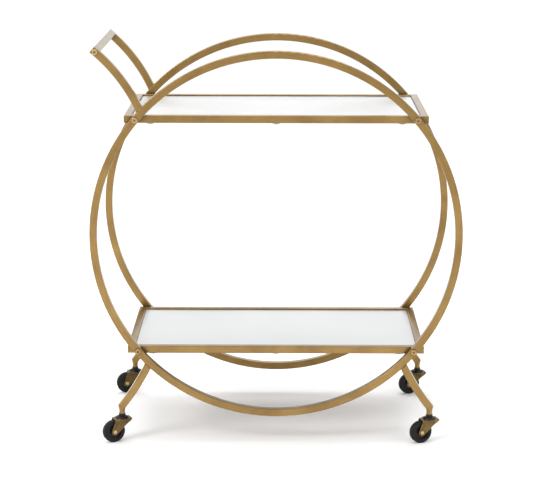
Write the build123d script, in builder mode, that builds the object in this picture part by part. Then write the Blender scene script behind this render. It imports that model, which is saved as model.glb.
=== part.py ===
from build123d import *
import os
from math import cos, degrees, radians, sin, sqrt

# A round bar cart: two square-tube hoops carry two mirrored trays between them, a push handle
# leans out at the upper left, and four splayed legs end in swivel castors.
# Origin on the floor under the middle of the cart, +X to the right, +Y to the back, +Z up.

os.makedirs("parts", exist_ok=True)

# Driving dimensions, in millimetres and degrees.
tube = 15.0  # side of the square tube
wall = 1.2
tube_corner = 1.5  # outside corner radius of the tube
hoop_radius = 375.0  # outside
hoop_height = 430.0  # hoop centre above the floor
cart_depth = 350.0  # front face of the front hoop to back face of the back hoop
tray_length = 606.0
tray_offset = 237.5  # middle of each tray frame above or below the hoop centre
panel_gap = 0.7  # all round, between the panel and its frame
panel_recess = 3.0  # panel top below the top of its frame
mirror_thickness = 4.0
board_thickness = 3.0

bolt_radius = 3.0  # M6
bolt_clearance = 0.2
head_radius = 6.0
head_height = 3.0
head_rounding = 1.3
socket_flats = 4.0
socket_depth = 2.0
nut_side = 11.0
nut_thickness = 6.0
thread_gap = 0.05  # on the radius

handle_bend_radius = 334.0  # centre line of the two handle arms
handle_bend_x = -575.0  # bend centre, from the hoop centre
handle_bend_z = 119.5
handle_foot_angle = 22.0  # round the bend from +X towards +Z, a little inside the hoop
handle_bolt_angle = 49.2

leg_bend_radius = 500.0  # centre line of each leg
leg_bend_x = 709.3  # bend centre, from the hoop centre
leg_bend_z = -46.8
leg_top_angle = -24.5  # round the bend, a little inside the hoop
leg_end_angle = -38.1
stub_radius = 5.9
stub_inset = 0.2  # step where the drawn-down foot meets the square tube
stub_bottom = 58.8
stub_top = 65.5

tab_width = 13.5
tab_thickness = 2.0
tab_setback = 6.0  # from the outer face of the rail
tab_reach = 12.0  # under the backing board
tab_spacing = 251.0
screw_radius = 2.0
screw_head_radius = 3.5
screw_head_height = 1.4
screw_length = 7.0

wheel_radius = 23.0
tread_width = 12.5
tyre_depth = 5.5
tyre_rounding = 2.5
hub_width = 13.4
hub_boss_radius = 5.5
hub_rim_depth = 2.5
hub_rim_width = 11.0
hub_web = 4.5
axle_radius = 2.5
axle_head_radius = 4.2
axle_head_height = 1.7
axle_head_rounding = 1.5
castor_trail = 19.0
crown_top = 49.6
sheet = 1.6  # castor fork steel
crown_radius = 17.5
crown_bead = 1.3  # radius of the rolled edge
crown_half_width = 13.0  # across the fork, where its cheeks leave the crown
boss_radius = 6.8  # end of each cheek, round the axle
cheek_gap = 0.6  # hub to fork cheek, each side
crown_bend = 3.0
shoulder_height = 38.0  # where the cheeks turn straight down
shoulder_bend = 8.0
skirt_depth = 7.0  # of the crown, behind the wheel
skirt_arc = 150.0
rib_length = 18.0  # pressed into each cheek
rib_width = 4.0
rib_height = 0.8
rib_tilt = 118.0
cap_gap = 0.3  # crown to cap
cap_radius = 13.5
cap_height = 2.9
cap_flat_radius = 7.5
spacer_radius = 6.6
spacer_flare = 0.6
king_pin_radius = 3.0
king_pin_head_radius = 5.5
king_pin_head_height = 2.2
stem_radius = 4.0  # M8
stem_length = 11.0  # in the stub
shaft_gap = 0.08  # running gaps of the king pin and the axle, on the radius
ball_radius = 1.0
ball_rise = 0.7  # ball centre above the crown
ball_circle = 9.0
ball_count = 10

# How far each castor is turned, from pointing left towards pointing forward.
swivel = {"front_left": 26.0, "front_right": 20.0, "back_left": 10.0, "back_right": 14.0}

# Derived dimensions.
sides = {"left": -1, "right": 1}
ends = {"front": -1, "back": 1}
bore = tube - 2 * wall
hoop_middle = hoop_radius - tube / 2
frame_y = cart_depth / 2 - tube / 2  # middle of each hoop's depth
tray_y = cart_depth / 2 - tube  # outer face of the trays
bolt_x = sqrt(hoop_middle**2 - tray_offset**2)
tray_levels = {"upper": hoop_height + tray_offset, "lower": hoop_height - tray_offset}


def save(piece, name):
    """Name one finished sub-part and write its file."""
    piece.part.label = name
    export_step(piece.part, f"parts/{name}.step")


def rounded_square(plane, side, corner):
    """Rounded square on the given plane."""
    with BuildSketch(plane) as section:
        RectangleRounded(side, side, corner)
    return section.sketch


def tube_outside(plane):
    return rounded_square(plane, tube, tube_corner)


def tube_inside(plane):
    return rounded_square(plane, bore, tube_corner - wall)


def across(y, direction, x=0.0, z=0.0):
    """Plane across the cart's depth whose normal points to the front (-1) or the back (1)."""
    return Plane(origin=(x, y, z), x_dir=(-direction, 0, 0), z_dir=(0, direction, 0))


def bend_plane(centre, radius, angle, y):
    """Section plane of a bend about a point in XZ, at an angle from +X towards +Z."""
    outward = Vector(cos(radians(angle)), 0, sin(radians(angle)))
    origin = Vector(centre[0], y, centre[1]) + outward * radius
    return Plane(origin=origin, x_dir=outward, z_dir=(-outward.Z, 0, outward.X))


def bend_axis(centre):
    return Axis((centre[0], 0, centre[1]), (0, -1, 0))


def hoop_disc(y):
    """Disc that fills a hoop, to cope the tubes welded to its outside."""
    with BuildPart() as disc:
        with BuildSketch(across(y, 1, 0, hoop_height)):
            Circle(hoop_radius)
        extrude(amount=tube, both=True)
    return disc.part


# Hoops: closed rings of square tube, drilled right through for the tray bolts.
def make_hoop(name, y):
    centre = (0, hoop_height)
    start = bend_plane(centre, hoop_middle, 0, y)
    with BuildPart() as hoop:
        revolve(tube_outside(start), axis=bend_axis(centre))
        revolve(tube_inside(start), axis=bend_axis(centre), mode=Mode.SUBTRACT)
        for x in (-bolt_x, bolt_x):
            for level in tray_levels.values():
                with BuildSketch(across(y, 1, x, level)):
                    Circle(bolt_radius + bolt_clearance)
        extrude(amount=tube, both=True, mode=Mode.SUBTRACT)
    save(hoop, name)


for end, direction in ends.items():
    make_hoop(f"{end}_hoop", direction * frame_y)


# Handle: two bent arms welded to the hoops and closed at the top, and a grip bolted between them.
handle_bend = (handle_bend_x, hoop_height + handle_bend_z)
handle_end_angle = handle_bolt_angle + degrees(tube / 2 / handle_bend_radius)
handle_cap_angle = handle_end_angle - degrees(wall / handle_bend_radius)
grip_end = bend_plane(handle_bend, handle_bend_radius, handle_bolt_angle, 0)


def make_handle_arm(name, y):
    foot = bend_plane(handle_bend, handle_bend_radius, handle_foot_angle, y)
    axis = bend_axis(handle_bend)
    with BuildPart() as arm:
        revolve(tube_outside(foot), axis=axis, revolution_arc=handle_end_angle - handle_foot_angle)
        inside_arc = handle_cap_angle - handle_foot_angle
        revolve(tube_inside(foot), axis=axis, revolution_arc=inside_arc, mode=Mode.SUBTRACT)
        add(hoop_disc(y), mode=Mode.SUBTRACT)
        with BuildSketch(across(y, 1, grip_end.origin.X, grip_end.origin.Z)):
            Circle(bolt_radius + bolt_clearance)
        extrude(amount=tube, both=True, mode=Mode.SUBTRACT)
    save(arm, name)


for end, direction in ends.items():
    make_handle_arm(f"{end}_handle_arm", direction * frame_y)

grip_section = Plane(origin=grip_end.origin, x_dir=grip_end.x_dir, z_dir=(0, 1, 0))
with BuildPart() as crossbar:
    extrude(tube_outside(grip_section), amount=tray_y, both=True)
    extrude(tube_inside(grip_section), amount=tray_y, both=True, mode=Mode.SUBTRACT)
save(crossbar, "handle_crossbar")


# Legs: square tube bent away from the cart, its foot drawn down to a round stub for the castor.
leg_bend = (-leg_bend_x, hoop_height + leg_bend_z)
leg_end = bend_plane(leg_bend, leg_bend_radius, leg_end_angle, 0).origin
mitre_angle = -leg_end_angle / 2
stub_x = -leg_end.X


def make_leg(name, side, y):
    """Leg under one end of a hoop, made on the left at y, and turned half round for the right."""
    axis = bend_axis(leg_bend)
    foot = bend_plane(leg_bend, leg_bend_radius, leg_end_angle - mitre_angle, y)
    mitre = Plane(
        origin=(leg_end.X, y, leg_end.Z),
        x_dir=(cos(radians(mitre_angle)), 0, -sin(radians(mitre_angle))),
        z_dir=(sin(radians(mitre_angle)), 0, cos(radians(mitre_angle))),
    )
    with BuildPart() as leg:
        arc = leg_top_angle - leg_end_angle + mitre_angle
        revolve(tube_outside(foot), axis=axis, revolution_arc=arc)
        revolve(tube_inside(foot), axis=axis, revolution_arc=arc, mode=Mode.SUBTRACT)
        add(hoop_disc(y), mode=Mode.SUBTRACT)
        split(bisect_by=mitre, keep=Keep.TOP)
        with BuildSketch(mitre):
            width = tube / cos(radians(mitre_angle)) - 2 * stub_inset
            RectangleRounded(width, tube - 2 * stub_inset, tube_corner)
        with BuildSketch(Plane(origin=(leg_end.X, y, stub_top))):
            Circle(stub_radius)
        loft()
        with BuildSketch(Plane(origin=(leg_end.X, y, stub_bottom))):
            Circle(stub_radius)
        extrude(amount=stub_top - stub_bottom)
        with BuildSketch(Plane(origin=(leg_end.X, y, stub_bottom))):
            Circle(stem_radius + thread_gap)
        extrude(amount=stem_length + wall, mode=Mode.SUBTRACT)
    with BuildPart() as turned:
        add(leg.part, rotation=(0, 0, 180 if side > 0 else 0))
    save(turned, name)


for end, direction in ends.items():
    for hand, side in sides.items():
        make_leg(f"{end}_{hand}_leg", side, -side * direction * frame_y)


# Trays: four mitred rails, a mirror on a backing board, and tabs that hold the board up.
def make_long_rail(name, direction, level):
    """Front or back rail, mitred at both ends and drilled through its outer wall."""
    middle = Plane(origin=(0, direction * (tray_y - tube / 2), level), x_dir=(0, 1, 0), z_dir=(1, 0, 0))
    with BuildPart() as rail:
        extrude(tube_outside(middle), amount=tray_length / 2, both=True)
        extrude(tube_inside(middle), amount=tray_length / 2, both=True, mode=Mode.SUBTRACT)
        for side in sides.values():
            corner = (side * tray_length / 2, direction * tray_y, level)
            split(bisect_by=Plane(origin=corner, z_dir=(-side, direction, 0)), keep=Keep.TOP)
        for x in (-bolt_x, bolt_x):
            with BuildSketch(across(direction * tray_y, direction, x, level)):
                Circle(bolt_radius + bolt_clearance)
        extrude(amount=-2 * wall, mode=Mode.SUBTRACT)
        for x in (-tab_spacing, 0, tab_spacing):
            with BuildSketch(Plane(origin=(x, direction * screw_y, level - tube / 2))):
                Circle(screw_radius)
        extrude(amount=2 * wall, mode=Mode.SUBTRACT)
    save(rail, name)


def make_short_rail(name, side, level):
    """Left or right rail, mitred at both ends."""
    middle = Plane(origin=(side * (tray_length - tube) / 2, 0, level), x_dir=(1, 0, 0), z_dir=(0, 1, 0))
    with BuildPart() as rail:
        extrude(tube_outside(middle), amount=tray_y, both=True)
        extrude(tube_inside(middle), amount=tray_y, both=True, mode=Mode.SUBTRACT)
        for direction in ends.values():
            corner = (side * tray_length / 2, direction * tray_y, level)
            split(bisect_by=Plane(origin=corner, z_dir=(side, -direction, 0)), keep=Keep.TOP)
    save(rail, name)


def make_sheet(name, top, thickness):
    """Flat panel that drops into a tray frame."""
    with BuildPart() as panel:
        with BuildSketch(Plane.XY.offset(top)):
            Rectangle(tray_length - 2 * (tube + panel_gap), 2 * (tray_y - tube - panel_gap))
        extrude(amount=-thickness)
    save(panel, name)


def make_tabs(name, level):
    """Z-bent tabs, screwed under the long rails and reaching in under the board."""
    rail_bottom = level - tube / 2
    step = tray_y - tube - panel_gap / 2  # outer face of the upright web
    board_bottom = level + tube / 2 - panel_recess - mirror_thickness - board_thickness
    with BuildPart() as tabs:
        for x in (-tab_spacing, 0, tab_spacing):
            for direction in ends.values():
                with BuildSketch(Plane(origin=(x, 0, 0), x_dir=(0, direction, 0), z_dir=(direction, 0, 0))):
                    with BuildLine():
                        Polyline(
                            (tray_y - tab_setback, rail_bottom),
                            (step, rail_bottom),
                            (step, board_bottom),
                            (step - tab_reach, board_bottom),
                            (step - tab_reach, board_bottom - tab_thickness),
                            (step - tab_thickness, board_bottom - tab_thickness),
                            (step - tab_thickness, rail_bottom - tab_thickness),
                            (tray_y - tab_setback, rail_bottom - tab_thickness),
                            close=True,
                        )
                    make_face()
        extrude(amount=tab_width / 2, both=True)
        for x in (-tab_spacing, 0, tab_spacing):
            for direction in ends.values():
                with BuildSketch(Plane(origin=(x, direction * screw_y, rail_bottom))):
                    Circle(screw_radius + thread_gap)
        extrude(amount=-tab_thickness, mode=Mode.SUBTRACT)
    save(tabs, name)


def make_tab_screws(name, level):
    """Low-headed screws that pass up through the tabs into the rails."""
    under_tab = level - tube / 2 - tab_thickness
    seats = [
        Plane(origin=(x, direction * screw_y, under_tab))
        for x in (-tab_spacing, 0, tab_spacing)
        for direction in ends.values()
    ]
    with BuildPart() as screws:
        for seat in seats:
            with BuildSketch(seat):
                Circle(screw_head_radius)
        extrude(amount=-screw_head_height, taper=20)
        for seat in seats:
            with BuildSketch(seat):
                Circle(screw_radius - thread_gap)
        extrude(amount=screw_length)
    save(screws, name)


def make_bolts(name, points, length):
    """Button-head bolts at each (x, z), from the front and from the back."""
    seats = [across(d * cart_depth / 2, d, x, z) for x, z in points for d in ends.values()]
    head_top = cart_depth / 2 + head_height
    with BuildPart() as bolts:
        for seat in seats:
            with BuildSketch(seat):
                Circle(head_radius)
        extrude(amount=head_height)
        rims = bolts.edges().filter_by(lambda edge: abs(abs(edge.center().Y) - head_top) < thread_gap)
        fillet(rims, head_rounding)
        for seat in seats:
            with BuildSketch(seat):
                Circle(bolt_radius)
        extrude(amount=-length)
        for seat in seats:
            with BuildSketch(seat.offset(head_height)):
                RegularPolygon(socket_flats / 2, 6, major_radius=False)
        extrude(amount=-socket_depth, mode=Mode.SUBTRACT)
    save(bolts, name)


def make_nuts(name, points, x_dir):
    """Square weld nuts behind the first wall that each bolt meets inside the hoops."""
    seats = [
        Plane(origin=(x, d * (tray_y - wall), z), x_dir=x_dir, z_dir=(0, -d, 0))
        for x, z in points
        for d in ends.values()
    ]
    with BuildPart() as nuts:
        for seat in seats:
            with BuildSketch(seat):
                Rectangle(nut_side, nut_side)
                Circle(bolt_radius + thread_gap, mode=Mode.SUBTRACT)
        extrude(amount=nut_thickness)
    save(nuts, name)


screw_y = tray_y - tab_setback - (tube - tab_setback) / 2
bolt_length = tube + wall + nut_thickness

for tray, level in tray_levels.items():
    for end, direction in ends.items():
        make_long_rail(f"{tray}_{end}_rail", direction, level)
    for hand, side in sides.items():
        make_short_rail(f"{tray}_{hand}_rail", side, level)
    mirror_top = level + tube / 2 - panel_recess
    make_sheet(f"{tray}_mirror", mirror_top, mirror_thickness)
    make_sheet(f"{tray}_backing_board", mirror_top - mirror_thickness, board_thickness)
    make_tabs(f"{tray}_panel_tabs", level)
    make_tab_screws(f"{tray}_tab_screws", level)
    bolt_points = [(-bolt_x, level), (bolt_x, level)]
    make_bolts(f"{tray}_tray_bolts", bolt_points, bolt_length)
    make_nuts(f"{tray}_tray_nuts", bolt_points, (1, 0, 0))

grip_points = [(grip_end.origin.X, grip_end.origin.Z)]
make_bolts("handle_bolts", grip_points, bolt_length)
make_nuts("handle_nuts", grip_points, grip_end.x_dir)


# Castors: a threaded king pin with a domed cap, and a fork that turns under it on a ring of balls.
crown_bottom = crown_top - sheet
cap_bottom = crown_top + cap_gap
cap_top = cap_bottom + cap_height
cap_roof = crown_top + ball_rise + ball_radius + thread_gap
cheek_inside = hub_width / 2 + cheek_gap
cheek_outside = cheek_inside + sheet


def castor_plane(x, y, angle):
    """Side view of a castor: x towards the wheel, y up, normal along the axle away from the front."""
    ahead = Vector(-cos(radians(angle)), -sin(radians(angle)), 0)
    return Plane(origin=(x, y, 0), x_dir=ahead, z_dir=(ahead.Y, -ahead.X, 0))


def make_king_pin(name, view):
    """Threaded stem above a domed cap, and the pin that the fork hangs from."""
    with BuildPart() as pin:
        with BuildSketch(view):
            with BuildLine():
                Polyline(
                    (0, crown_bottom - thread_gap - king_pin_head_height),
                    (king_pin_head_radius, crown_bottom - thread_gap - king_pin_head_height),
                    (king_pin_head_radius, crown_bottom - thread_gap),
                    (king_pin_radius, crown_bottom - thread_gap),
                    (king_pin_radius, cap_roof),
                    (cap_radius - 2 * wall, cap_roof),
                    (cap_radius - wall, cap_bottom),
                    (cap_radius, cap_bottom),
                )
                dome = ThreePointArc(
                    (cap_radius, cap_bottom),
                    (cap_radius - wall, cap_bottom + cap_height * 0.62),
                    (cap_flat_radius, cap_top),
                )
                Polyline(
                    dome @ 1,
                    (stem_radius, cap_top),
                    (stem_radius, stub_bottom + stem_length),
                    (0, stub_bottom + stem_length),
                    (0, crown_bottom - thread_gap - king_pin_head_height),
                )
            make_face()
        revolve(axis=Axis(view.origin, (0, 0, 1)))
    save(pin, name)


def make_spacer(name, view):
    """Black collar between the castor's cap and the leg."""
    with BuildPart() as spacer:
        with BuildSketch(Plane(origin=view.origin + Vector(0, 0, cap_top))):
            Circle(spacer_radius + spacer_flare)
        with BuildSketch(Plane(origin=view.origin + Vector(0, 0, stub_bottom))):
            Circle(spacer_radius)
        loft()
        with BuildSketch(Plane(origin=view.origin + Vector(0, 0, cap_top))):
            Circle(stem_radius + thread_gap)
        extrude(amount=stub_bottom - cap_top, mode=Mode.SUBTRACT)
    save(spacer, name)


def make_fork(name, x, y, angle):
    """Pressed fork: a U of bent sheet cut to tapering cheeks, a round crown and a rear skirt."""
    view = castor_plane(x, y, angle)
    across_fork = Plane(origin=view.origin, x_dir=view.z_dir, z_dir=view.x_dir * -1)
    stem_axis = Axis(view.origin, (0, 0, 1))
    with BuildSketch(across_fork) as bent:
        with BuildLine():
            Polyline(
                (-cheek_outside, 0),
                (-cheek_outside, shoulder_height),
                (-crown_half_width, crown_top),
                (crown_half_width, crown_top),
                (cheek_outside, shoulder_height),
                (cheek_outside, 0),
                close=True,
            )
        make_face()
        fillet(bent.vertices().group_by(Axis.Y)[1], shoulder_bend)
        fillet(bent.vertices().group_by(Axis.Y)[-1], crown_bend)
        offset(amount=-sheet, mode=Mode.SUBTRACT)
    with BuildSketch(view) as cheek:
        with Locations((0, crown_bottom)):
            Rectangle(2 * crown_radius, 2 * sheet)
        with Locations((castor_trail, wheel_radius)):
            Circle(boss_radius)
        make_hull(cheek.edges())
    with BuildPart() as fork:
        extrude(bent.sketch, amount=castor_trail + crown_radius, both=True)
        extrude(cheek.sketch, amount=crown_half_width, both=True, mode=Mode.INTERSECT)
        with BuildSketch(view):
            with Locations(((crown_radius - crown_bead) / 2, crown_top - sheet / 2)):
                Rectangle(crown_radius - crown_bead, sheet)
            with Locations((crown_radius - crown_bead, crown_top - crown_bead)):
                Circle(crown_bead)
        revolve(axis=stem_axis)
        with BuildSketch(castor_plane(x, y, angle + (360 - skirt_arc) / 2)):
            with Locations((crown_radius - sheet / 2, crown_top - (crown_bead + skirt_depth) / 2)):
                Rectangle(sheet, skirt_depth - crown_bead)
        revolve(axis=stem_axis, revolution_arc=skirt_arc)
        for side in (-1, 1):
            with BuildSketch(view.offset(side * (cheek_outside - sheet / 2))):
                with Locations((castor_trail * 0.65, (crown_top + wheel_radius) / 2 - sheet)):
                    SlotOverall(rib_length, rib_width, rotation=rib_tilt)
            extrude(amount=side * (rib_height + sheet / 2))
        with BuildSketch(view):
            with Locations((castor_trail, wheel_radius)):
                Circle(axle_radius)
        extrude(amount=crown_half_width, both=True, mode=Mode.SUBTRACT)
        with BuildSketch(Plane(origin=view.origin + Vector(0, 0, crown_bottom))):
            Circle(king_pin_radius + shaft_gap)
        extrude(amount=sheet, mode=Mode.SUBTRACT)
        with BuildSketch(view):
            with Locations((ball_circle, crown_top + ball_rise)):
                Circle(ball_radius + thread_gap)
        revolve(axis=stem_axis, mode=Mode.SUBTRACT)
    save(fork, name)


def make_balls(name, x, y):
    """Ring of bearing balls between the crown and the cap."""
    with BuildPart(Plane(origin=(x, y, crown_top + ball_rise))) as balls:
        with PolarLocations(ball_circle, ball_count):
            Sphere(ball_radius)
    save(balls, name)


def make_axle(name, view, axis):
    """Rivet with a rounded head at each end."""
    middle = Plane(origin=axis.position, x_dir=view.x_dir, z_dir=view.z_dir)
    tip = cheek_outside + axle_head_height
    with BuildPart() as axle:
        with BuildSketch(middle):
            Circle(axle_head_radius)
        extrude(amount=tip, both=True)
        with BuildSketch(middle):
            Circle(axle_head_radius)
            Circle(axle_radius, mode=Mode.SUBTRACT)
        extrude(amount=cheek_outside, both=True, mode=Mode.SUBTRACT)
        along = [abs((edge.center() - middle.origin).dot(middle.z_dir)) for edge in axle.edges()]
        rims = [edge for edge, reach in zip(axle.edges(), along) if abs(reach - tip) < thread_gap]
        fillet(rims, axle_head_rounding)
    save(axle, name)


def make_hub(name, radial, axis):
    """Moulded hub: boss, web and rim."""
    rim = wheel_radius - tyre_depth
    with BuildPart() as hub:
        with BuildSketch(radial):
            with BuildLine():
                Polyline(
                    (axle_radius + shaft_gap, 0),
                    (axle_radius + shaft_gap, hub_width / 2),
                    (hub_boss_radius, hub_width / 2),
                    (hub_boss_radius, hub_web / 2),
                    (rim - hub_rim_depth, hub_web / 2),
                    (rim - hub_rim_depth, hub_rim_width / 2),
                    (rim, hub_rim_width / 2),
                    (rim, 0),
                    close=True,
                )
            make_face()
            mirror(about=Plane.XZ)
        revolve(axis=axis)
    save(hub, name)


def make_tyre(name, radial, axis):
    """Tyre moulded round the hub, with rounded shoulders."""
    with BuildPart() as tyre:
        with BuildSketch(radial) as section:
            with Locations((wheel_radius - tyre_depth / 2, 0)):
                Rectangle(tyre_depth, tread_width)
            fillet(section.vertices().group_by(Axis.X)[-1], tyre_rounding)
        revolve(axis=axis)
    save(tyre, name)


for end, direction in ends.items():
    for hand, side in sides.items():
        corner = f"{end}_{hand}"
        x, y, angle = side * stub_x, direction * frame_y, swivel[corner]
        view = castor_plane(x, y, angle)
        hub_centre = view.origin + view.x_dir * castor_trail + Vector(0, 0, wheel_radius)
        radial = Plane(origin=hub_centre, x_dir=(0, 0, 1), z_dir=view.x_dir)
        axle_axis = Axis(hub_centre, view.z_dir)
        make_king_pin(f"{corner}_king_pin", view)
        make_spacer(f"{corner}_castor_spacer", view)
        make_fork(f"{corner}_castor_fork", x, y, angle)
        make_balls(f"{corner}_castor_balls", x, y)
        make_axle(f"{corner}_castor_axle", view, axle_axis)
        make_hub(f"{corner}_wheel_hub", radial, axle_axis)
        make_tyre(f"{corner}_wheel_tyre", radial, axle_axis)
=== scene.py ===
from math import cos, hypot, pi, radians, sin, sqrt

import bmesh
import bpy
from mathutils import Matrix, Vector


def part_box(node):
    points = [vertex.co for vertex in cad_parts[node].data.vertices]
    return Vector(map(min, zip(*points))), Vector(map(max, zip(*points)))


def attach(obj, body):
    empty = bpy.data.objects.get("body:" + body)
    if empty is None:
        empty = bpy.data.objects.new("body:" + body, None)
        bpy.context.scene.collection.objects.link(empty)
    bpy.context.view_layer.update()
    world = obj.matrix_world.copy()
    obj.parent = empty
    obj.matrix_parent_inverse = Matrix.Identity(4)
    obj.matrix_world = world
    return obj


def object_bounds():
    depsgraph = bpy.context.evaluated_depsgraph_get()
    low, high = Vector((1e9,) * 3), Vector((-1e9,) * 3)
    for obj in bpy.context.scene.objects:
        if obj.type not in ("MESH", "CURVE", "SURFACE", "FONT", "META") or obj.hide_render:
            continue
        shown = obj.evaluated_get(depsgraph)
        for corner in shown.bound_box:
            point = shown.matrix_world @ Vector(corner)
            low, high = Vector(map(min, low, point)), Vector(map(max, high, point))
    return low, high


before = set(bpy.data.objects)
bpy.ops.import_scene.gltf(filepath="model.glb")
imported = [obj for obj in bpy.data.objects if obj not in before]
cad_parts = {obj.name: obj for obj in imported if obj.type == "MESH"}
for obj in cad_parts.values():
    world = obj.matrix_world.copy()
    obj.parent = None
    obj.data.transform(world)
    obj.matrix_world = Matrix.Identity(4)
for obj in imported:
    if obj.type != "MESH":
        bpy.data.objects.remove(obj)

# Round bar cart. The CAD nodes keep their shapes and get procedural finishes. Weld beads are added
# where the legs and the handle meet the hoops, and a plain studio is set round it. Lengths are in
# metres.

cad_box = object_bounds()

# Driving values, repeated from the CAD model.
tube = 0.015
handle_bend = (-0.575, 0.5495)  # centre of the handle arms' bend, x and z
handle_bend_radius = 0.334
leg_bend = (-0.7093, 0.3832)  # centre of the left legs' bend
right_leg_bend = (-leg_bend[0], leg_bend[1])
leg_bend_radius = 0.500

# Camera. Angles in degrees, lens in millimetres.
camera_place = (0.0104, -3.6565, 1.1992)
camera_yaw = 0.303
camera_pitch = 12.78
camera_roll = 0.092
camera_lens = 117.58

CORNERS = ("front_left", "front_right", "back_left", "back_right")


# Shader helpers.
def new_material(name):
    """Empty material with its node tree and its shader."""
    material = bpy.data.materials.new(name)
    material.use_nodes = True
    return material, material.node_tree, material.node_tree.nodes["Principled BSDF"]


def put(socket, value):
    """Links a socket to another node's output, or sets it to a number or colour."""
    if isinstance(value, bpy.types.NodeSocket):
        socket.id_data.links.new(value, socket)
    else:
        socket.default_value = value


def add_node(tree, kind, inputs, **settings):
    """Node of a kind, with its settings and its inputs by name or number."""
    made = tree.nodes.new(kind)
    for key, value in settings.items():
        setattr(made, key, value)
    for key, value in inputs.items():
        put(made.inputs[key], value)
    return made


def compute(tree, operation, first, second=0.0):
    return add_node(tree, "ShaderNodeMath", {0: first, 1: second}, operation=operation).outputs[0]


def mix(tree, share, first, second):
    """Colour between two colours; sockets 6 and 7 are a Mix node's colours, output 2 its result."""
    inputs = {0: share, 6: first, 7: second}
    return add_node(tree, "ShaderNodeMix", inputs, data_type="RGBA").outputs[2]


def remap(tree, value, low, high, new_low=0.0, new_high=1.0):
    """Stretches low to high onto new_low to new_high, and holds the ends."""
    inputs = {0: value, 1: low, 2: high, 3: new_low, 4: new_high}
    return add_node(tree, "ShaderNodeMapRange", inputs).outputs[0]


def noise(tree, vector, scale, detail):
    inputs = {"Vector": vector, "Scale": scale, "Detail": detail}
    return add_node(tree, "ShaderNodeTexNoise", inputs).outputs[0]


def place_on_piece(tree):
    return tree.nodes.new("ShaderNodeTexCoord").outputs["Object"]


def add_bump(tree, shader, strength, distance, height):
    inputs = {"Strength": strength, "Distance": distance, "Height": height}
    put(shader.inputs["Normal"], add_node(tree, "ShaderNodeBump", inputs).outputs[0])


EDGE_TURN = 0.86  # cosine between flat and rounded normal at which a point counts as all edge
EDGE_SAMPLES = 4


def edge_mask(tree, radius):
    """1 along sharp edges and 0 on open faces."""
    rounded = add_node(tree, "ShaderNodeBevel", {"Radius": radius}, samples=EDGE_SAMPLES).outputs[0]
    flat = tree.nodes.new("ShaderNodeNewGeometry").outputs["Normal"]
    turned = add_node(tree, "ShaderNodeVectorMath", {0: rounded, 1: flat}, operation="DOT_PRODUCT")
    return remap(tree, turned.outputs["Value"], 1.0, EDGE_TURN)


SKY_SHUT, SKY_OPEN = 0.15, 0.95  # open sky at which a crevice is darkest, and at which it ends
SKY_SAMPLES = 8


def crevice_shade(tree, reach):
    """Painted shade: 1 in the open, falling to 0 in corners and round the heads of fasteners."""
    inputs = {"Color": (1, 1, 1, 1), "Distance": reach}
    sky = add_node(tree, "ShaderNodeAmbientOcclusion", inputs, samples=SKY_SAMPLES).outputs["AO"]
    return remap(tree, sky, SKY_SHUT, SKY_OPEN)


# Grain: each function gives coordinates in which brushing is long one way and fine the others.
GRAIN_LONG = 45.0  # noise cells in a metre along the brushing
GRAIN_FINE = 1500.0  # and across it


def straight_grain(axis):
    scale = [GRAIN_FINE] * 3
    scale["xyz".index(axis)] = GRAIN_LONG

    def coordinates(tree):
        inputs = {"Vector": place_on_piece(tree), "Scale": scale}
        return add_node(tree, "ShaderNodeMapping", inputs).outputs[0]

    return coordinates


def ring_grain(centre, radius):
    """Brushing that follows an arc about a centre in x and z."""

    def coordinates(tree):
        split = add_node(tree, "ShaderNodeSeparateXYZ", {0: place_on_piece(tree)})
        x = compute(tree, "SUBTRACT", split.outputs[0], centre[0])
        z = compute(tree, "SUBTRACT", split.outputs[2], centre[1])
        turn = compute(tree, "ARCTAN2", z, x)
        x_squared = compute(tree, "MULTIPLY", x, x)
        squares = compute(tree, "ADD", x_squared, compute(tree, "MULTIPLY", z, z))
        inputs = {
            0: compute(tree, "MULTIPLY", turn, radius * GRAIN_LONG),
            1: compute(tree, "MULTIPLY", split.outputs[1], GRAIN_FINE),
            2: compute(tree, "MULTIPLY", compute(tree, "SQRT", squares), GRAIN_FINE),
        }
        return add_node(tree, "ShaderNodeCombineXYZ", inputs).outputs[0]

    return coordinates


# Metal. Noise between TONE_LOW and TONE_HIGH runs from the darker to the lighter tone.
TONE_LOW, TONE_HIGH = 0.35, 0.65
DULLER, GLOSSIER = 0.07, 0.05  # roughness added in the darker tone and taken off in the lighter
PAINTED_SHADE_SHARE = 0.18  # brightness of the painted shade in a crevice against the darker tone of the open metal
METAL_EDGE = 0.0008  # radius over which an edge changes tone
METAL_CREVICE = 0.012  # distance from a corner or a bolt's head that the painted shade reaches
LACQUER_ROUGHNESS = 0.16


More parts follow.
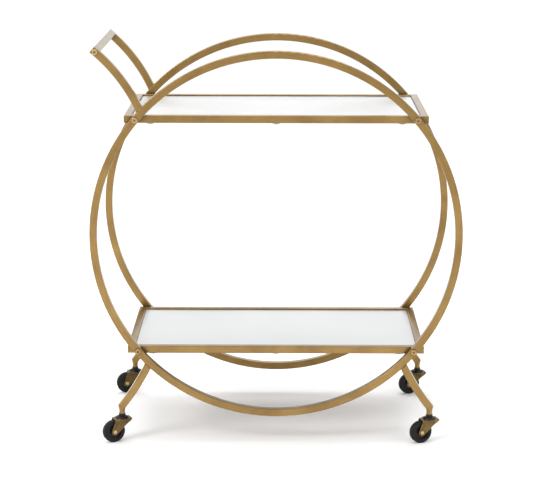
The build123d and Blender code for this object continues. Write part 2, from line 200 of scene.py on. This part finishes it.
def make_metal(
    name, light, dark, edge, roughness, grain, streak_share=0.5, edge_share=0.5, lacquer=0.0
):
    """Plated metal: fine brushing, soft clouds, another tone on edges, and painted shade in
    crevices.
    """
    material, tree, shader = new_material(name)
    streaks = noise(tree, grain(tree), scale=1.0, detail=3.0)
    clouds = noise(tree, place_on_piece(tree), scale=16.0, detail=5.0)
    streak_part = compute(tree, "MULTIPLY", streaks, streak_share)
    cloud_part = compute(tree, "MULTIPLY", clouds, 1.0 - streak_share)
    tone = remap(tree, compute(tree, "ADD", streak_part, cloud_part), TONE_LOW, TONE_HIGH)
    edges = compute(tree, "MULTIPLY", edge_mask(tree, METAL_EDGE), edge_share)
    # Painted shade: ambient occlusion darkens the base colour in crevices, at corners and round
    # bolt heads.
    painted_shade_colour = tuple(part * PAINTED_SHADE_SHARE for part in dark[:3]) + (1,)
    before_crevice_shade = mix(tree, edges, mix(tree, tone, dark, light), edge)
    shade = crevice_shade(tree, METAL_CREVICE)
    put(shader.inputs["Base Color"], mix(tree, shade, painted_shade_colour, before_crevice_shade))
    gloss = remap(tree, tone, 0.0, 1.0, roughness + DULLER, roughness - GLOSSIER)
    put(shader.inputs["Roughness"], gloss)
    shader.inputs["Metallic"].default_value = 1.0
    shader.inputs["Coat Weight"].default_value = lacquer
    shader.inputs["Coat Roughness"].default_value = LACQUER_ROUGHNESS
    add_bump(tree, shader, strength=0.18, distance=0.00004, height=streaks)
    return material


# Plastic and rubber.
MOULDED_EDGE = 0.0006  # radius over which an edge is scuffed
EDGE_SCUFF, FACE_SCUFF = 0.6, 0.15  # share of the worn colour on edges, and in scuffs on faces
SCUFF_LOW, SCUFF_HIGH = 0.45, 0.7  # noise at which a scuff begins, and is full
SCUFF_ROUGHNESS = 0.15  # roughness added in a full scuff
MOULDED_SPECULAR = 0.25


def make_moulded(name, colour, worn, roughness, grain_scale, depth):
    """Moulded plastic or rubber: fine grain, uneven gloss, and paler scuffs on its edges."""
    material, tree, shader = new_material(name)
    grain = noise(tree, place_on_piece(tree), grain_scale, detail=2.0)
    patches = noise(tree, place_on_piece(tree), scale=120.0, detail=4.0)
    scuffs = remap(tree, patches, SCUFF_LOW, SCUFF_HIGH)
    edges = compute(tree, "MULTIPLY", edge_mask(tree, MOULDED_EDGE), EDGE_SCUFF)
    share = compute(tree, "MAXIMUM", edges, compute(tree, "MULTIPLY", scuffs, FACE_SCUFF))
    put(shader.inputs["Base Color"], mix(tree, share, colour, worn))
    gloss = remap(tree, scuffs, 0.0, 1.0, roughness, roughness + SCUFF_ROUGHNESS)
    put(shader.inputs["Roughness"], gloss)
    shader.inputs["Specular IOR Level"].default_value = MOULDED_SPECULAR
    add_bump(tree, shader, strength=0.3, distance=depth, height=grain)
    return material


# Mirror: rough enough to show no clear reflection, as in the photo.
SILVER_DARK, SILVER_LIGHT = (0.72, 0.73, 0.74, 1), (0.82, 0.83, 0.83, 1)
GLASS_EDGE_TONE = (0.45, 0.52, 0.49, 1)
GLASS_EDGE = 0.0012  # radius over which the edge shows
HAZE_LOW, HAZE_HIGH = 0.3, 0.7  # noise at which the haze is least and most
MIRROR_SMOOTH, MIRROR_ROUGH = 0.34, 0.42


def make_mirror(name):
    """Silvered glass with faint haze, and a green-grey ground edge."""
    material, tree, shader = new_material(name)
    haze = noise(tree, place_on_piece(tree), scale=5.0, detail=5.0)
    edges = edge_mask(tree, GLASS_EDGE)
    tone = mix(tree, haze, SILVER_DARK, SILVER_LIGHT)
    put(shader.inputs["Base Color"], mix(tree, edges, tone, GLASS_EDGE_TONE))
    gloss = remap(tree, haze, HAZE_LOW, HAZE_HIGH, MIRROR_SMOOTH, MIRROR_ROUGH)
    put(shader.inputs["Roughness"], gloss)
    shader.inputs["Metallic"].default_value = 1.0
    add_bump(tree, shader, strength=0.05, distance=0.0002, height=haze)
    return material


# Hardboard.
BOARD_DARK, BOARD_LIGHT = (0.07, 0.05, 0.035, 1), (0.2, 0.15, 0.11, 1)
FIBRE_LOW, FIBRE_HIGH = 0.3, 0.7  # noise at which a fibre is least and most rough
BOARD_SMOOTH, BOARD_ROUGH = 0.65, 0.85


def make_hardboard(name):
    """Dark pressed board: short fibres in two tones."""
    material, tree, shader = new_material(name)
    fibres = noise(tree, place_on_piece(tree), scale=420.0, detail=6.0)
    put(shader.inputs["Base Color"], mix(tree, fibres, BOARD_DARK, BOARD_LIGHT))
    gloss = remap(tree, fibres, FIBRE_LOW, FIBRE_HIGH, BOARD_SMOOTH, BOARD_ROUGH)
    put(shader.inputs["Roughness"], gloss)
    add_bump(tree, shader, strength=0.4, distance=0.0002, height=fibres)
    return material


# Finishes.
def palette(light, dark, edge):
    """A metal's two tones on open faces, and its tone along edges."""
    return {"light": (*light, 1), "dark": (*dark, 1), "edge": (*edge, 1)}


# The darker edge tones of GOLD and BOLT_GOLD are painted shade along the rounded edges of the
# tubes, welds and bolt heads.
GOLD = palette((0.335, 0.203, 0.054), (0.2, 0.113, 0.025), (0.08, 0.045, 0.012))
BOLT_GOLD = palette((0.56, 0.4, 0.19), (0.3, 0.19, 0.075), (0.16, 0.1, 0.04))
RIVET = palette((0.7, 0.46, 0.26), (0.46, 0.28, 0.15), (0.2, 0.12, 0.06))
BRASS = palette((0.21, 0.142, 0.058), (0.09, 0.058, 0.022), (0.52, 0.38, 0.2))
ZINC = palette((0.5, 0.5, 0.5), (0.34, 0.34, 0.35), (0.6, 0.6, 0.6))
BLACKENED = palette((0.06, 0.053, 0.045), (0.02, 0.018, 0.015), (0.3, 0.24, 0.15))
CHROME = palette((0.8, 0.8, 0.8), (0.62, 0.62, 0.63), (0.85, 0.85, 0.85))
BLACK, SCUFFED = (0.005, 0.005, 0.005, 1), (0.04, 0.038, 0.035, 1)

hoop_low, hoop_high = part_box("front_hoop")
hoop_centre = ((hoop_low.x + hoop_high.x) / 2, (hoop_low.z + hoop_high.z) / 2)
hoop_radius = (hoop_high.x - hoop_low.x) / 2


def make_gold(name, grain):
    """The lacquered gold of the tubes."""
    # edge_share 0.8 sets the strength of the painted shade along the tubes' edges.
    return make_metal(name, roughness=0.34, grain=grain, edge_share=0.8, lacquer=0.7, **GOLD)


gold_hoops = make_gold("gold_hoops", ring_grain(hoop_centre, hoop_radius))
gold_arms = make_gold("gold_arms", ring_grain(handle_bend, handle_bend_radius))
gold_legs = {
    "left": make_gold("gold_left_legs", ring_grain(leg_bend, leg_bend_radius)),
    "right": make_gold("gold_right_legs", ring_grain(right_leg_bend, leg_bend_radius)),
}
along_x, along_y, along_z = straight_grain("x"), straight_grain("y"), straight_grain("z")
gold_lengthways = make_gold("gold_lengthways", along_x)
gold_crossways = make_gold("gold_crossways", along_y)
gold_bolts = make_metal(
    "gold_bolts", roughness=0.24, grain=along_y, streak_share=0.2, **BOLT_GOLD
)
gold_welds = make_metal("gold_welds", roughness=0.42, grain=along_z, streak_share=0.2, **GOLD)
rivet = make_metal("castor_rivets", roughness=0.26, grain=along_z, streak_share=0.2, **RIVET)
zinc = make_metal("zinc_plate", roughness=0.4, grain=along_x, streak_share=0.2, **ZINC)
brass = make_metal(
    "antique_brass", roughness=0.34, grain=along_z, streak_share=0.3, edge_share=0.8, **BRASS
)
blackened = make_metal("blackened_steel", roughness=0.38, grain=along_z, **BLACKENED)
ball_steel = make_metal("ball_steel", roughness=0.12, grain=along_z, streak_share=0.1, **CHROME)
hub_plastic = make_moulded(
    "hub_plastic", BLACK, SCUFFED, roughness=0.36, grain_scale=900.0, depth=0.00004
)
tyre_rubber = make_moulded(
    "tyre_rubber", BLACK, SCUFFED, roughness=0.55, grain_scale=700.0, depth=0.00008
)
mirror_glass = make_mirror("mirror_glass")
hardboard = make_hardboard("hardboard")


def dress(material, *nodes):
    """Gives CAD nodes a finish through their objects' material slots."""
    for name in nodes:
        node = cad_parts[name]
        if not node.material_slots:
            node.data.materials.append(material)
        for slot in node.material_slots:
            slot.material = material


for end in ("front", "back"):
    dress(gold_hoops, f"{end}_hoop")
    dress(gold_arms, f"{end}_handle_arm")
    for hand, material in gold_legs.items():
        dress(material, f"{end}_{hand}_leg")
dress(gold_crossways, "handle_crossbar")
dress(gold_bolts, "handle_bolts")
dress(zinc, "handle_nuts")
for tray in ("upper", "lower"):
    dress(gold_lengthways, f"{tray}_front_rail", f"{tray}_back_rail")
    dress(gold_crossways, f"{tray}_left_rail", f"{tray}_right_rail")
    dress(mirror_glass, f"{tray}_mirror")
    dress(hardboard, f"{tray}_backing_board")
    dress(gold_bolts, f"{tray}_tray_bolts")
    dress(zinc, f"{tray}_tray_nuts", f"{tray}_panel_tabs", f"{tray}_tab_screws")
for corner in CORNERS:
    dress(blackened, f"{corner}_king_pin")
    dress(hub_plastic, f"{corner}_castor_spacer", f"{corner}_wheel_hub")
    dress(brass, f"{corner}_castor_fork")
    dress(rivet, f"{corner}_castor_axle")
    dress(ball_steel, f"{corner}_castor_balls")
    dress(tyre_rubber, f"{corner}_wheel_tyre")


# Weld beads: two at every joint with a hoop, one on each side of the tube that meets it.
bead_radius = 0.0011
bead_half_length = 0.0062
bead_ripple = 0.12  # share of the radius
bead_ripples = 6
bead_rings = 41
bead_sides = 12
bead_taper_power = 8  # the higher, the shorter the tapered ends
bead_end_square = 0.02  # square of the ends' radius, as a share of the bead's


def circles_meet(centre, radius, near):
    """Point where a circle in x and z crosses the hoops' outer circle, the one nearer to near."""
    gap_x, gap_z = centre[0] - hoop_centre[0], centre[1] - hoop_centre[1]
    gap = hypot(gap_x, gap_z)
    along = (gap**2 + hoop_radius**2 - radius**2) / (2 * gap)
    out = sqrt(hoop_radius**2 - along**2)
    choices = []
    for side in (-1, 1):
        x = hoop_centre[0] + (along * gap_x - side * out * gap_z) / gap
        z = hoop_centre[1] + (along * gap_z + side * out * gap_x) / gap
        choices.append((x, z))
    return min(choices, key=lambda point: hypot(point[0] - near[0], point[1] - near[1]))


def add_bead(mesh, x, z, y):
    """Rippled bead along y, with closed, tapered ends."""
    rings = []
    for step in range(bead_rings):
        share = step / (bead_rings - 1)
        taper = sqrt(max(1 - (2 * share - 1) ** bead_taper_power, bead_end_square))
        wave = (1 + cos(2 * pi * bead_ripples * share)) / 2
        radius = bead_radius * taper * (1 - bead_ripple * wave)
        at_y = y + bead_half_length * (2 * share - 1)
        ring = []
        for turn in range(bead_sides):
            angle = 2 * pi * turn / bead_sides
            place = (x + radius * cos(angle), at_y, z + radius * sin(angle))
            ring.append(mesh.verts.new(place))
        rings.append(ring)
    for low, high in zip(rings, rings[1:]):
        for turn in range(bead_sides):
            following = (turn + 1) % bead_sides
            mesh.faces.new((low[turn], low[following], high[following], high[turn]))
    mesh.faces.new(rings[0])
    mesh.faces.new(reversed(rings[-1]))


def make_welds(name, centre, radius, near, y):
    """The two beads of one joint, where a tube bent about a centre meets a hoop."""
    mesh = bmesh.new()
    for wall in (-tube / 2, tube / 2):
        x, z = circles_meet(centre, radius + wall, near)
        add_bead(mesh, x, z, y)
    bmesh.ops.recalc_face_normals(mesh, faces=mesh.faces)
    data = bpy.data.meshes.new(name)
    mesh.to_mesh(data)
    mesh.free()
    data.shade_smooth()
    data.materials.append(gold_welds)
    welds = bpy.data.objects.new(name, data)
    bpy.context.scene.collection.objects.link(welds)
    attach(welds, "cart_frame")


for end in ("front", "back"):
    low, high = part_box(f"{end}_hoop")
    middle_y = (low.y + high.y) / 2
    arm_low, arm_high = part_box(f"{end}_handle_arm")
    near = (arm_high.x, arm_low.z)
    make_welds(f"{end}_handle_weld", handle_bend, handle_bend_radius, near, middle_y)
    for hand, bend in (("left", leg_bend), ("right", right_leg_bend)):
        leg_low, leg_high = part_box(f"{end}_{hand}_leg")
        inner_x = leg_high.x if hand == "left" else leg_low.x
        near = (inner_x, leg_high.z)
        make_welds(f"{end}_{hand}_leg_weld", bend, leg_bend_radius, near, middle_y)


# Studio: pale floor, even surroundings and three soft lights.
floor_half = 15.0
floor_roughness = 0.9
FLOOR_DARK, FLOOR_LIGHT = (0.955, 0.955, 0.955, 1), (0.985, 0.985, 0.985, 1)
SKY_COLOUR = (1, 1, 1, 1)
sky_strength = 1.06


def make_floor():
    mesh = bmesh.new()
    corners = ((-1, -1), (1, -1), (1, 1), (-1, 1))
    mesh.faces.new([mesh.verts.new((floor_half * x, floor_half * y, 0)) for x, y in corners])
    data = bpy.data.meshes.new("floor")
    mesh.to_mesh(data)
    mesh.free()
    material, tree, shader = new_material("pale_floor")
    tone = noise(tree, place_on_piece(tree), scale=3.0, detail=3.0)
    put(shader.inputs["Base Color"], mix(tree, tone, FLOOR_DARK, FLOOR_LIGHT))
    shader.inputs["Roughness"].default_value = floor_roughness
    data.materials.append(material)
    floor = bpy.data.objects.new("floor", data)
    bpy.context.scene.collection.objects.link(floor)


def make_light(name, place, size, power):
    """Square light that faces the middle of the cart; power in watts."""
    data = bpy.data.lights.new(name, "AREA")
    data.shape, data.size, data.energy = "SQUARE", size, power
    light = bpy.data.objects.new(name, data)
    light.location = place
    target = Vector((0, 0, (cad_box[0].z + cad_box[1].z) / 2))
    light.rotation_mode = "QUATERNION"
    light.rotation_quaternion = (target - Vector(place)).to_track_quat("-Z", "Y")
    bpy.context.scene.collection.objects.link(light)


make_floor()
make_light("key", place=(-2.4, -2.2, 2.6), size=1.4, power=55)
make_light("fill", place=(2.6, -2.0, 1.4), size=2.0, power=14)
make_light("top", place=(0.0, 0.6, 3.2), size=2.2, power=42)

world = bpy.data.worlds.new("studio")
world.use_nodes = True
world.node_tree.nodes["Background"].inputs["Color"].default_value = SKY_COLOUR
world.node_tree.nodes["Background"].inputs["Strength"].default_value = sky_strength
bpy.context.scene.world = world
bpy.context.scene.view_settings.view_transform = "Standard"

camera_data = bpy.data.cameras.new("camera")
camera_data.lens = camera_lens
camera = bpy.data.objects.new("camera", camera_data)
turn = Matrix.Rotation(radians(camera_yaw), 4, "Z")
tilt = Matrix.Rotation(radians(90 - camera_pitch), 4, "X")
roll = Matrix.Rotation(radians(camera_roll), 4, "Z")
camera.matrix_world = Matrix.Translation(camera_place) @ turn @ tilt @ roll
bpy.context.scene.collection.objects.link(camera)
bpy.context.scene.camera = camera
